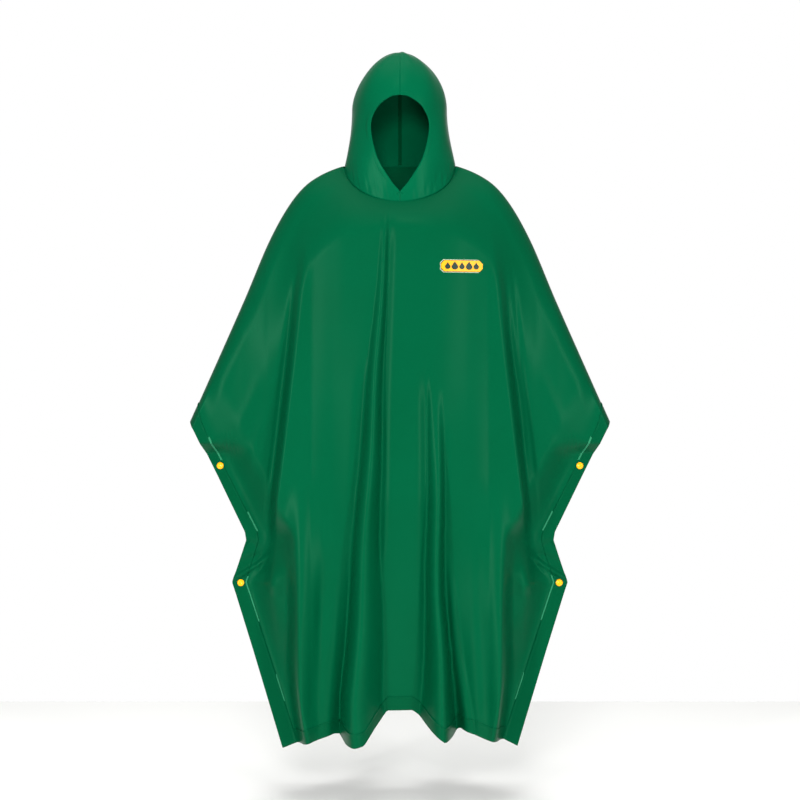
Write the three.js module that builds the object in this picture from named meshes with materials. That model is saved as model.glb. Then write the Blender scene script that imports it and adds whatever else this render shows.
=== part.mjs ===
// A hooded rain poncho of coated sheet, filled out as it is worn, in millimetres with +Z up.
// The origin is where the wearer's shoulders carry it: the middle of the neck, at shoulder level.
// +X is the wearer's left and the front faces -Y. The cloth is hollow: two body panels meet along the
// shoulders and arms, the hood stands on the neckline, and the neck, face, cuffs, sides and hem are open.
import * as THREE from 'three';
import { mergeVertices } from 'three/addons/utils/BufferGeometryUtils.js';

// ---- driving sizes ----
const WALL = 1.5; // thickness of the cloth walls
const GAP = 0.3; // space left between pieces that are joined or lie on each other
const BAND = 32; // width of the hem band
const BAND_WALL = 1.0;
const NECK = { halfWidth: 127, sideHeight: 12, frontDepth: 98, backDepth: 85, frontDip: 94, backLift: 10 };
const SNAP = { radius: 8, height: 3, lift: 0.5 };
const BADGE = { x: 138, z: -230, width: 98, height: 29, chamfer: 7, rim: 2.4 };
const CASING = 11; // width of the hem round the face opening
const TAPE = { halfWidth: 4, wall: 0.8, lift: 1.2 };

// Shoulder and arm line seen from the front: height at each distance from the middle.
const RIDGE = [[0, 36], [127, 12], [203, -23], [250, -73], [300, -162], [358, -300], [480, -577]];
const WRIST = { x: 480, drop: 577, y: -20 };
// Side edge below the wrist: distance from the middle at each drop below the origin. It runs in to the
// notch between the two snaps, out to the lower snap, and in again to the corner of the hem.
const SIDE = [[577, 480], [831, 356], [850, 353], [947, 386], [1317, 266]];
const HEM_CORNER = 266;
// Half the opening between front and back along the side edge: the cuff, the two snaps, the open vent.
const SIDE_OPENING = [
  [577, 34], [625, 34], [645, 6], [650, 1.2], [704, 1.2], [770, 6], [850, 10], [905, 1.2], [968, 1.2],
  [1100, 18], [1317, 60],
];
const SNAPS = [{ name: 'upper', x: 413, z: -679 }, { name: 'lower', x: 366, z: -948 }];

// Distances from the middle where columns of the panels reach the hem, and the row positions between the
// shoulder line (0) and the hem (1): close together on the round of the shoulder, and at both snaps.
const NECK_STATIONS = [0, 28, 45, 62, 80, 99, 118, 137, 143, 148, 152];
const ARM_STATIONS = [165, 178, 191, 204, 218, 232];
const BAND_STATIONS = [249, HEM_CORNER];
const STATIONS = [...NECK_STATIONS, ...ARM_STATIONS, ...BAND_STATIONS];
const BAND_COLUMN = STATIONS.indexOf(232);
const BAND_TOP = 461; // where the inner edge of the side band leaves the arm line
const BAND_RISE = 14; // the rows cross the side band square to its edge, so they rise by this much
const ROWS = [
  0, 0.011, 0.032, 0.06, 0.09, 0.12, 0.165, 0.24, 0.343, 0.369, 0.425, 0.478, 0.5, 0.523, 0.62, 0.72, 0.82, 0.92,
];

// ---- the two body panels: how far the cloth stands out from the plane of the arms ----
// A fold has its crest line as [drop, x], its half widths and its rise, each as [drop, value].
const ARM_STEP = {
  line: [[231, 235], [900, 314]], width: 26,
  amount: [[180, 0], [300, 20], [450, 45], [620, 60], [800, 60], [880, 45], [980, 0]],
};
const HIP_STEP = { line: [[800, 264], [1317, 250]], width: 36, amount: [[800, 0], [973, 45], [1317, 55]] };
const FRONT = {
  sign: -1, chest: 140, chestFall: 27,
  neckTurns: { left: [0, 7, 13, 19, 25, 31, 37, 43, 55, 71, 90], right: [0, 3, 5, 7.5, 10, 12.6, 16, 21, 40, 64, 90] },
  trough: { inner: 110, outer: 190, amount: [[500, 0], [752, 8], [973, 32], [1300, 62]] },
  hem: [
    [-266, -1317], [-232, -1304], [-201, -1293], [-149, -1278], [-137, -1280], [-120, -1294], [-99, -1296],
    [-80, -1291], [-58, -1261], [-28, -1228], [28, -1227], [44, -1239], [72, -1263], [99, -1284],
    [117, -1279], [137, -1266], [193, -1286], [232, -1296], [266, -1312],
  ],
  folds: [
    { // the long flute from the neck down the wearer's right side
      crest: [[81, -28], [1193, -101], [1317, -99]], rise: [[100, 0], [310, 10], [531, 26], [752, 40], [973, 60], [1317, 102]],
      toRight: [[81, 9], [531, 18], [752, 27], [1317, 34]], toLeft: [[81, 9], [531, 17], [752, 26], [973, 46], [1317, 72]],
      crisp: true,
    },
    { // the sharper flute on the wearer's left
      crest: [[500, 84], [973, 84], [1317, 99]], rise: [[500, 0], [640, 12], [752, 28], [973, 50], [1317, 102]],
      toRight: [[500, 20], [973, 27], [1317, 55]], toLeft: [[500, 12], [973, 18], [1317, 34]], crisp: true,
    },
    { // small flute beside it
      crest: [[880, 106], [1250, 146]], rise: [[860, 0], [973, 8], [1317, 16]],
      toRight: [[880, 9], [1317, 14]], toLeft: [[880, 10], [1317, 22]], crisp: true,
    },
    { crest: [[700, -215], [1317, -231]], rise: [[690, 0], [880, 18], [1317, 32]], toRight: [[700, 36]], toLeft: [[700, 50]] },
    { crest: [[700, 215], [1317, 231]], rise: [[690, 0], [880, 14], [1317, 30]], toRight: [[700, 50]], toLeft: [[700, 36]] },
    { crest: [[850, -162], [1250, -180]], rise: [[850, 0], [1000, -7], [1317, -7]], toRight: [[850, 24]], toLeft: [[850, 30]] },
  ],
};
const BACK = {
  sign: 1, chest: 122, chestFall: 14,
  neckTurns: { left: [0, 8, 16, 24, 31, 38, 45, 52, 63, 76, 90], right: [0, 8, 16, 24, 31, 38, 45, 52, 63, 76, 90] },
  trough: { inner: 70, outer: 170, amount: [[450, 0], [752, 10], [973, 24], [1300, 40]] },
  hem: [
    [-266, -1317], [-232, -1302], [-180, -1286], [-137, -1298], [-99, -1300], [-62, -1262], [0, -1250],
    [44, -1256], [80, -1298], [117, -1300], [152, -1276], [204, -1290], [232, -1298], [266, -1312],
  ],
  folds: [
    {
      crest: [[170, -62], [1317, -112]], rise: [[190, 0], [531, 16], [973, 48], [1317, 70]],
      toRight: [[190, 24], [1317, 40]], toLeft: [[190, 22], [1317, 46]], crisp: true,
    },
    {
      crest: [[330, 70], [1317, 100]], rise: [[330, 0], [640, 18], [973, 46], [1317, 72]],
      toRight: [[330, 26], [1317, 50]], toLeft: [[330, 20], [1317, 38]], crisp: true,
    },
    { crest: [[620, -215], [1317, -226]], rise: [[620, 0], [880, 16], [1317, 30]], toRight: [[700, 36]], toLeft: [[700, 50]] },
    { crest: [[620, 208], [1317, 226]], rise: [[620, 0], [880, 16], [1317, 30]], toRight: [[700, 50]], toLeft: [[700, 36]] },
  ],
};
const ARM_ROUND = { reach: 45, rise: 48 }; // how the cloth turns over the shoulder line
const CHEST_REACH = 180; // below the shoulder line it stands full out from here down
const NOTCH_DENT = { from: [353, 862], to: [327, 905], radius: 14, depth: 20, floor: 5 };
const FLAT_EDGE = 30; // the side band lies flat over this width

// ---- the hood ----
const HOOD = {
  top: 272, crown: 139, halfWidth: 109, flare: 18, front: 112, back: 125, edgeRows: 7, crownRows: 4,
};
// The face opening, from the meeting point at the throat, round the cheek, to the forehead.
const FACE_EDGE = [[0, -61], [24, -31], [53, 20], [67, 89], [52, 129], [23, 151], [0, 156]];

// ---- helpers ----
const vec = (x, y, z) => new THREE.Vector3(x, y, z);
const clamp01 = (q) => Math.min(1, Math.max(0, q));
const ease = (q) => clamp01(q) ** 2 * (3 - 2 * clamp01(q));
const roundOver = (q) => Math.sqrt(1 - (1 - clamp01(q)) ** 2);

// Value of a list of [at, value] points, straight between them and level past its ends.
function track(points, at) {
  const last = points.length - 1;
  if (at <= points[0][0]) return points[0][1];
  if (at >= points[last][0]) return points[last][1];
  const i = points.findIndex((point) => point[0] >= at);
  const [a, low] = points[i - 1];
  const [b, high] = points[i];
  return THREE.MathUtils.lerp(low, high, (at - a) / (b - a));
}

// Smooth curve through a list of [at, value] points.
function curve(points, at) {
  const last = points.length - 1;
  const slope = (k) => {
    const [a, low] = points[Math.max(k - 1, 0)];
    const [b, high] = points[Math.min(k + 1, last)];
    return (high - low) / (b - a);
  };
  let i = 0;
  while (i < last - 1 && at > points[i + 1][0]) i += 1;
  const [a, low] = points[i];
  const [b, high] = points[i + 1];
  const s = (at - a) / (b - a);
  const rise = high - low;
  const start = slope(i) * (b - a);
  const end = slope(i + 1) * (b - a);
  return low + start * s + (3 * rise - 2 * start - end) * s ** 2 + (start + end - 2 * rise) * s ** 3;
}

const ridgeHeight = (across) => curve(RIDGE, across);
const ridgeSlope = (across) => (ridgeHeight(across + 1) - ridgeHeight(across - 1)) / 2;
const middleY = (across) => WRIST.y * clamp01((across - 150) / (WRIST.x - 150));

function sideEdge(drop) {
  const above = (WRIST.drop - drop) * 0.488;
  return drop < WRIST.drop ? WRIST.x + above : track(SIDE, drop);
}

// Where a straight line first meets a piece, and which way that face looks.
function onFace(mesh, from, direction) {
  const [hit] = new THREE.Raycaster(from, direction).intersectObject(mesh);
  return { point: hit.point, normal: hit.face.normal.clone() };
}

// ---- the neckline, shared by the hood and the panels ----
// angle is 0 at the front of the neck, half a turn at the back, and positive on the wearer's left.
function neckPoint(angle) {
  const front = Math.cos(angle) > 0;
  const y = -Math.cos(angle) * (front ? NECK.frontDepth : NECK.backDepth);
  const z = NECK.sideHeight - Math.cos(angle) * (front ? NECK.frontDip : NECK.backLift);
  return vec(NECK.halfWidth * Math.sin(angle), y, z);
}

// The direction across the seam at the neckline and the direction up along the cloth there.
function neckSeam(angle) {
  const side = Math.abs(Math.cos(angle)) < 1e-6;
  const along = side ? vec(0, 1, 0) : neckPoint(angle + 0.02).sub(neckPoint(angle - 0.02)).normalize();
  const point = neckPoint(angle);
  const depth = Math.cos(angle) > 0 ? NECK.frontDepth : NECK.backDepth;
  const out = vec(point.x / NECK.halfWidth ** 2, point.y / depth ** 2, 0).normalize();
  const normal = vec(out.x, out.y, 0.4);
  normal.addScaledVector(along, -normal.dot(along)).normalize();
  const up = vec(0, 0, 1).addScaledVector(along, -along.z);
  up.addScaledVector(normal, -up.dot(normal)).normalize();
  return { point, normal, up };
}

// ---- closed walls from a grid of points and the directions across the cloth ----
function closedGeometry(positions, indices) {
  let geometry = new THREE.BufferGeometry();
  geometry.setAttribute('position', new THREE.Float32BufferAttribute(positions, 3));
  geometry.setIndex(indices);
  geometry = mergeVertices(geometry, 1e-3);
  const index = geometry.getIndex().array;
  const kept = [];
  for (let i = 0; i < index.length; i += 3) {
    const [a, b, c] = [index[i], index[i + 1], index[i + 2]];
    if (a !== b && b !== c && c !== a) kept.push(a, b, c);
  }
  const at = (i) => new THREE.Vector3().fromBufferAttribute(geometry.getAttribute('position'), i);
  let volume = 0;
  for (let i = 0; i < kept.length; i += 3) volume += at(kept[i]).dot(at(kept[i + 1]).cross(at(kept[i + 2])));
  if (volume < 0) kept.reverse();
  geometry.setIndex(kept);
  return geometry;
}

// grid and normals are rows of Vector3; the wall fills the space between the two offsets.
function wall(grid, normals, inner, outer) {
  const rows = grid.length;
  const columns = grid[0].length;
  const positions = [];
  for (const offset of [inner, outer]) {
    for (let r = 0; r < rows; r += 1) {
      for (let c = 0; c < columns; c += 1) {
        positions.push(...grid[r][c].clone().addScaledVector(normals[r][c], offset).toArray());
      }
    }
  }
  const id = (layer, r, c) => (layer * rows + r) * columns + c;
  const indices = [];
  const quad = (a, b, c, d) => indices.push(a, b, c, a, c, d);
  for (let r = 0; r < rows - 1; r += 1) {
    for (let c = 0; c < columns - 1; c += 1) {
      quad(id(1, r, c), id(1, r + 1, c), id(1, r + 1, c + 1), id(1, r, c + 1));
      indices.push(id(0, r, c), id(0, r + 1, c + 1), id(0, r + 1, c));
      indices.push(id(0, r, c), id(0, r, c + 1), id(0, r + 1, c + 1));
    }
  }
  for (let r = 0; r < rows - 1; r += 1) {
    quad(id(0, r, 0), id(0, r + 1, 0), id(1, r + 1, 0), id(1, r, 0));
    quad(id(1, r, columns - 1), id(1, r + 1, columns - 1), id(0, r + 1, columns - 1), id(0, r, columns - 1));
  }
  for (let c = 0; c < columns - 1; c += 1) {
    quad(id(1, 0, c), id(1, 0, c + 1), id(0, 0, c + 1), id(0, 0, c));
    quad(id(0, rows - 1, c), id(0, rows - 1, c + 1), id(1, rows - 1, c + 1), id(1, rows - 1, c));
  }
  return closedGeometry(positions, indices);
}

function gridNormals(grid, sign) {
  const clampTo = (i, n) => Math.min(n - 1, Math.max(0, i));
  return grid.map((row, r) => row.map((_, c) => {
    const across = grid[r][clampTo(c + 1, row.length)].clone().sub(grid[r][clampTo(c - 1, row.length)]);
    const down = grid[clampTo(r + 1, grid.length)][c].clone().sub(grid[clampTo(r - 1, grid.length)][c]);
    return across.cross(down).multiplyScalar(sign).normalize();
  }));
}

// ---- body panels ----
function foldHeight(fold, x, drop) {
  const off = x - track(fold.crest, drop);
  const reach = off < 0 ? track(fold.toRight, drop) : track(fold.toLeft, drop);
  const q = Math.min(1, Math.abs(off) / reach);
  const shape = fold.crisp ? Math.cos((q * Math.PI) / 2) : (1 + Math.cos(q * Math.PI)) / 2;
  return track(fold.rise, drop) * shape;
}

const stepHeight = (step, across, drop) =>
  track(step.amount, drop) * ease((across - track(step.line, drop)) / step.width + 1);

function notchDent(across, drop) {
  const [ax, az] = NOTCH_DENT.from;
  const run = [NOTCH_DENT.to[0] - ax, NOTCH_DENT.to[1] - az];
  const s = clamp01(((across - ax) * run[0] + (drop - az) * run[1]) / (run[0] ** 2 + run[1] ** 2));
  const away = Math.hypot(across - ax - s * run[0], drop - az - s * run[1]);
  return NOTCH_DENT.depth * Math.exp(-((away / NOTCH_DENT.radius) ** 2));
}

// How far the panel stands out from the plane of the arms, before it is fitted to the neckline.
function bodyDepth(panel, x, z) {
  const across = Math.abs(x);
  const drop = -z;
  const below = Math.max(0, (ridgeHeight(across) - z) / Math.hypot(1, ridgeSlope(across)));
  let full = panel.chest - panel.chestFall * Math.min(1, (x / 200) ** 2);
  full -= track(panel.trough.amount, drop)
    * (1 - ease((across - panel.trough.inner) / (panel.trough.outer - panel.trough.inner)));
  full -= stepHeight(ARM_STEP, across, drop) + stepHeight(HIP_STEP, across, drop);
  full = Math.max(full, ARM_ROUND.rise + 4);
  let depth = ARM_ROUND.rise * roundOver(below / ARM_ROUND.reach)
    + (full - ARM_ROUND.rise) * ease(below / CHEST_REACH);
  for (const fold of panel.folds) depth += foldHeight(fold, x, drop) * ease(below / 90);
  const inward = (sideEdge(drop) - across) * 0.9;
  const closing = ease((inward - FLAT_EDGE) / track([[900, 80], [1317, 34]], drop));
  depth = closing * depth + (1 - closing) * Math.min(depth, track(SIDE_OPENING, drop));
  return depth - Math.min(notchDent(across, drop) * ease(inward / 20), Math.max(0, depth - NOTCH_DENT.floor));
}

// Near the neck the panel is drawn to the neckline: in front by how far out a point lies on the dipping
// oval of the neckline, and behind, where the neckline is nearly level, by its depth below it.
function panelDepth(panel, x, z) {
  const front = panel.sign < 0;
  const out = Math.abs(x) / NECK.halfWidth;
  const down = Math.max(0, NECK.sideHeight - z) / NECK.frontDip;
  const turn = front ? Math.atan2(out, down) : Math.PI - Math.asin(Math.min(1, out));
  const neck = neckPoint(turn);
  const miss = Math.abs(neck.y) - bodyDepth(panel, Math.sign(x) * neck.x, neck.z);
  const away = front ? (Math.hypot(out, down) - 1) * 1.6 : (neck.z - z) / 60;
  const share = front ? 1 : ease((1 - out) * 2.2);
  return bodyDepth(panel, x, z) + miss * share * Math.exp(-Math.max(0, away));
}

// The point of the arm line a given share of its length from the neck to the side band.
function armLine(share) {
  const points = [];
  for (let x = NECK.halfWidth; x <= BAND_TOP; x += 1) points.push(new THREE.Vector2(x, ridgeHeight(x)));
  return new THREE.SplineCurve(points.filter((_, i) => i % 6 === 0 || i === points.length - 1)).getPointAt(share);
}

// One column of a panel: where it starts on the neckline or arm line, where it meets the hem, and how
// closely it follows the side edge.
function panelColumn(panel, station, side) {
  const distance = STATIONS[station];
  const neckLast = NECK_STATIONS.length - 1;
  const hem = { x: side * distance, z: track(panel.hem, side * distance) };
  const hug = ease((station - neckLast) / (BAND_COLUMN - neckLast));
  const column = { station, side, hem, hug, square: { share: 0, rise: 0 } };
  if (station <= neckLast) {
    const turn = THREE.MathUtils.degToRad(panel.neckTurns[side > 0 ? 'left' : 'right'][station]);
    column.seam = neckSeam(side * (panel.sign < 0 ? turn : Math.PI - turn));
    column.start = { x: column.seam.point.x, z: column.seam.point.z };
  } else {
    const share = (station - neckLast) / (BAND_COLUMN - neckLast);
    const edge = (station - BAND_COLUMN) / (STATIONS.length - 1 - BAND_COLUMN);
    const x = station <= BAND_COLUMN ? armLine(share).x : THREE.MathUtils.lerp(BAND_TOP, WRIST.x, edge);
    column.start = { x: side * x, z: ridgeHeight(x) };
    if (edge >= 0) column.square = { share: 1, rise: BAND_RISE * (1 - edge) };
  }
  return column;
}

function panelGrid(panel) {
  const last = STATIONS.length - 1;
  const columns = [];
  for (let k = -last; k <= last; k += 1) columns.push(panelColumn(panel, Math.abs(k), k < 0 ? -1 : 1));
  const straight = (drop) => WRIST.x + ((drop - WRIST.drop) * (HEM_CORNER - WRIST.x)) / (1317 - WRIST.drop);
  const point = (column, t) => {
    const { start, hem, side, hug, square } = column;
    const straightZ = THREE.MathUtils.lerp(start.z, hem.z, t);
    const edgeZ = THREE.MathUtils.lerp(-WRIST.drop, track(panel.hem, side * HEM_CORNER), t);
    const ends = [[0, start.z + WRIST.drop], [0.09, square.rise], [0.95, square.rise], [1, hem.z - edgeZ]];
    const z = THREE.MathUtils.lerp(straightZ, edgeZ + track(ends, t), square.share);
    const shift = -z > WRIST.drop ? (sideEdge(-z) - straight(-z)) * hug * side : 0;
    const x = THREE.MathUtils.lerp(start.x, hem.x, t) + shift;
    return vec(x, middleY(Math.abs(x)) + panel.sign * panelDepth(panel, x, z), z);
  };
  const length = (column) => Math.hypot(column.hem.x - column.start.x, column.hem.z - column.start.z);
  const grid = [...ROWS.map((t) => columns.map((column) => point(column, t))),
    columns.map((column) => point(column, 1 - BAND / length(column))),
    columns.map((column) => point(column, 1))];
  const normals = gridNormals(grid, panel.sign);
  columns.forEach((column, c) => {
    const across = Math.abs(column.start.x);
    if (column.seam) {
      grid[0][c] = column.seam.point.clone().addScaledVector(column.seam.up, -GAP / 2);
      normals[0][c] = column.seam.normal;
      if (column.station === NECK_STATIONS.length - 1) grid[0][c].y += (panel.sign * GAP) / 2;
    } else {
      grid[0][c].y = middleY(across) + (panel.sign * GAP) / 2;
      normals[0][c] = vec(-ridgeSlope(across) * column.side, 0, 1).normalize();
    }
  });
  return { grid, normals };
}

// A strip of a panel's own points, moved out on to it.
function strip({ grid, normals }, rows, columns) {
  const take = (table) => table.slice(...rows).map((row) => row.slice(...columns));
  return wall(take(grid), take(normals), WALL / 2 + GAP, WALL / 2 + GAP + BAND_WALL);
}

// The hem band's own ends stop just short of the side bands.
function hemStrip(panel) {
  const columns = panel.grid[0].length;
  const first = STATIONS.length - 1 - BAND_COLUMN;
  const rows = panel.grid.length - 2;
  const cut = (table, row) => {
    const kept = table[row].slice(first, columns - first).map((entry) => entry.clone());
    kept[0].lerp(kept[1], 0.03);
    kept[kept.length - 1].lerp(kept[kept.length - 2], 0.03);
    return kept;
  };
  const pick = (table) => [cut(table, rows), cut(table, rows + 1)];
  return wall(pick(panel.grid), pick(panel.normals), WALL / 2 + GAP, WALL / 2 + GAP + BAND_WALL);
}

// ---- hood ----
function hoodWidth(z) {
  const up = (z - HOOD.crown) / (HOOD.top - HOOD.crown);
  if (up > 0) return HOOD.halfWidth * Math.max(0, 1 - up ** 1.8) ** 0.58;
  const down = clamp01((HOOD.crown - z) / (HOOD.crown - NECK.sideHeight));
  return HOOD.halfWidth + HOOD.flare * down ** 1.6;
}

function hoodDepth(z, front) {
  const up = (z - HOOD.crown) / (HOOD.top - HOOD.crown);
  const full = front ? HOOD.front : HOOD.back;
  if (up > 0) return full * Math.sqrt(Math.max(0, 1 - up ** 2));
  if (front) {
    const down = (HOOD.crown - z) / (HOOD.crown - NECK.sideHeight + NECK.frontDip);
    return full - (HOOD.front - NECK.frontDepth) * clamp01(down) ** 2;
  }
  const backFoot = NECK.sideHeight + NECK.backLift;
  return NECK.backDepth + (full - NECK.backDepth) * ease((z - backFoot) / (HOOD.crown - backFoot));
}

function hoodPoint(angle, z) {
  const front = Math.cos(angle) > 0;
  return vec(hoodWidth(z) * Math.sin(angle), -Math.cos(angle) * hoodDepth(z, front), z);
}

// Rows start on the front seam below and above the face opening, and on its edge beside it.
function hoodRows() {
  const edge = new THREE.SplineCurve(FACE_EDGE.map(([x, z]) => new THREE.Vector2(x, z)));
  const rows = [{ angle: 0, share: 0 }];
  const shareOf = (angle, z) => (z - neckPoint(angle).z) / (HOOD.top - neckPoint(angle).z);
  for (let i = 0; i <= HOOD.edgeRows; i += 1) {
    const { x, y: z } = edge.getPointAt(i / HOOD.edgeRows);
    const angle = Math.asin(Math.max(0, x) / hoodWidth(z));
    rows.push({ angle, share: shareOf(angle, z) });
  }
  const open = rows[rows.length - 1].share;
  for (let i = 1; i <= HOOD.crownRows; i += 1) {
    rows.push({ angle: 0, share: 1 - (1 - open) * (1 - i / HOOD.crownRows) ** 1.5 });
  }
  return rows;
}

// Half of the hood, with a column at each column of the panels that it is sewn to.
function hoodGrid(side) {
  const rows = hoodRows();
  const name = side > 0 ? 'left' : 'right';
  const degrees = [...FRONT.neckTurns[name], ...BACK.neckTurns[name].slice(0, -1).reverse().map((turn) => 180 - turn)];
  const turns = degrees.map(THREE.MathUtils.degToRad);
  const last = turns.length - 1;
  const grid = rows.map(({ angle: start, share }) => turns.map((turn) => {
    const angle = THREE.MathUtils.lerp(start, Math.PI, turn / Math.PI);
    const z = THREE.MathUtils.lerp(neckPoint(angle).z, HOOD.top, share);
    const point = hoodPoint(angle, z);
    point.x = side * (point.x + (GAP / 2) * (1 - Math.sin(angle)));
    return point;
  }));
  const normals = gridNormals(grid, side);
  normals.forEach((row, r) => {
    for (const c of rows[r].angle === 0 ? [0, last] : [last]) row[c].setX(0).normalize();
  });
  turns.forEach((turn, c) => {
    const seam = neckSeam(side * turn);
    grid[0][c].copy(seam.point).addScaledVector(seam.up, GAP / 2);
    grid[0][c].x += c === 0 || c === last ? (side * GAP) / 2 : 0;
    normals[0][c] = seam.normal;
    normals[rows.length - 1][c] = vec(0, 0, 1);
    grid[rows.length - 1][c].set((side * GAP) / 2, 0, HOOD.top);
  });
  return { grid, normals };
}

// The tape welded over the hood's middle seam on the inside, from the back of the neck to the forehead.
// Each point is found on the inner face of the hood.
function seamTape(hoods) {
  const foot = NECK.sideHeight + NECK.backLift + 4;
  const line = [];
  for (let i = 0; i <= 12; i += 1) {
    line.push(hoodPoint(Math.PI, THREE.MathUtils.lerp(foot, HOOD.top - 3, i / 12)));
  }
  for (let i = 0; i <= 5; i += 1) {
    line.push(hoodPoint(0, THREE.MathUtils.lerp(HOOD.top - 3, 162, (i / 5) ** 1.4)));
  }
  const grid = line.map((point, i) => {
    const along = line[Math.min(i + 1, line.length - 1)].clone().sub(line[Math.max(i - 1, 0)]);
    const out = vec(0, along.z, -along.y).normalize();
    return [-TAPE.halfWidth, -0.4, 0.4, TAPE.halfWidth].map((x) => {
      const start = vec(x, point.y, point.z).addScaledVector(out, -40);
      return onFace(hoods[x > 0 ? 'left' : 'right'], start, out).point;
    });
  });
  return wall(grid, gridNormals(grid, -1), -TAPE.lift - TAPE.wall, -TAPE.lift);
}

// ---- pieces laid on the cloth: points found on its outer face, moved out ----
function laidPatch(mesh, rows, thickness, lift, sign = -1) {
  const grid = rows.map((row) => row.map(([x, z]) => onFace(mesh, vec(x, -600, z), vec(0, 1, 0)).point));
  return wall(grid, gridNormals(grid, sign), lift, lift + thickness);
}

// The badge is a long plate with cut corners; inset draws its outline in.
function badgeRows(inset) {
  const half = BADGE.width / 2 - inset;
  const high = BADGE.height / 2 - inset;
  const shoulder = half - BADGE.chamfer;
  const stops = [[-half, high - BADGE.chamfer], [-shoulder, high], [-shoulder / 2, high], [0, high],
    [shoulder / 2, high], [shoulder, high], [half, high - BADGE.chamfer]];
  return [1, 0, -1].map((level) => stops.map(([x, top]) => [BADGE.x + x, BADGE.z + level * top]));
}

// The casing of the face opening: a strip beside the edge, on the hood's outer face.
function casingRows(side) {
  const edge = new THREE.SplineCurve(FACE_EDGE.map(([x, z]) => new THREE.Vector2(x, z)));
  const steps = 14;
  const lines = [0.8, CASING / 2, CASING].map((away) => {
    const line = [];
    for (let i = 0; i <= steps; i += 1) {
      const t = i / steps;
      const { x, y: z } = edge.getPointAt(t);
      const tangent = edge.getTangentAt(t);
      const outX = Math.max(0.2, x + tangent.y * away);
      line.push([side * outX, i === steps ? z + away : z - tangent.x * away]);
    }
    return line;
  });
  return lines;
}

// ---- assembly ----
const poncho = new THREE.Group();
const GREEN = { body: 0x006743, hood: 0x0d7c58, band: 0x00633f, inside: 0x004c23 };
const YELLOW = { snap: 0xffcb12, badge: 0xffb400, rim: 0xcfd8c0 };

function add(name, geometry, color, roughness = 0.45) {
  const mesh = new THREE.Mesh(geometry, new THREE.MeshStandardMaterial({ color, roughness, metalness: 0 }));
  mesh.name = name;
  poncho.add(mesh);
  mesh.updateMatrixWorld(true);
  return mesh;
}

const half = WALL / 2;
const panels = { front: panelGrid(FRONT), back: panelGrid(BACK) };
const bodies = {};
const sideBands = {};
for (const [name, panel] of Object.entries(panels)) {
  const rowCount = panel.grid.length;
  const bandColumns = STATIONS.length - BAND_COLUMN;
  bodies[name] = add(`body_${name}`, wall(panel.grid, panel.normals, -half, half), GREEN.body);
  add(`hem_band_${name}`, hemStrip(panel), GREEN.band);
  sideBands[`${name}_right`] = add(`side_band_${name}_right`, strip(panel, [0, rowCount], [0, bandColumns]), GREEN.band);
  sideBands[`${name}_left`] = add(`side_band_${name}_left`, strip(panel, [0, rowCount], [-bandColumns]), GREEN.band);
}

const hoods = {};
for (const [name, side] of [['left', 1], ['right', -1]]) {
  const { grid, normals } = hoodGrid(side);
  const hood = add(`hood_${name}`, wall(grid, normals, -half, half), GREEN.hood);
  hoods[name] = hood;
  add(`face_casing_${name}`, laidPatch(hood, casingRows(side), 0.8, 1.6, -side), GREEN.hood);
}
add('hood_seam_tape', seamTape(hoods), GREEN.inside);

// Press snaps: a domed cap on the front band and its partner on the back band.
const capProfile = [[0, 0], [SNAP.radius, 0], [SNAP.radius, 1], [5.2, 2.5], [0, SNAP.height]];
const capGeometry = new THREE.LatheGeometry(capProfile.map(([r, h]) => new THREE.Vector2(r, h)), 10);
capGeometry.deleteAttribute('normal');
capGeometry.deleteAttribute('uv');
for (const [face, sign] of [['front', -1], ['back', 1]]) {
  for (const [name, side] of [['left', 1], ['right', -1]]) {
    for (const snap of SNAPS) {
      const from = vec(side * snap.x, sign * 600, snap.z);
      const seat = onFace(sideBands[`${face}_${name}`], from, vec(0, -sign, 0));
      const source = capGeometry.toNonIndexed().getAttribute('position').array;
      const cap = add(`snap_${face}_${snap.name}_${name}`,
        closedGeometry(Array.from(source), Array.from({ length: source.length / 3 }, (_, i) => i)), YELLOW.snap, 0.3);
      cap.quaternion.setFromUnitVectors(vec(0, 1, 0), seat.normal);
      cap.position.copy(seat.point).addScaledVector(seat.normal, SNAP.lift);
    }
  }
}

const rim = add('badge_rim', laidPatch(bodies.front, badgeRows(0), 1.2, 0.5), YELLOW.rim, 0.5);
add('badge_face', laidPatch(rim, badgeRows(BADGE.rim), 0.8, 0.4), YELLOW.badge, 0.4);

export default poncho;
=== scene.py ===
"""A hooded rain poncho of PVC-coated sheet, filled out as it is worn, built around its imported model.

Shapes are worked out in millimetres, in the model's own frame: +X is the wearer's left, the front faces -Y
and the origin is the middle of the neck at shoulder level. Meshes are made in metres.
"""
import math

import bmesh
import bpy
import numpy as np
from mathutils import Matrix, Vector


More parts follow.
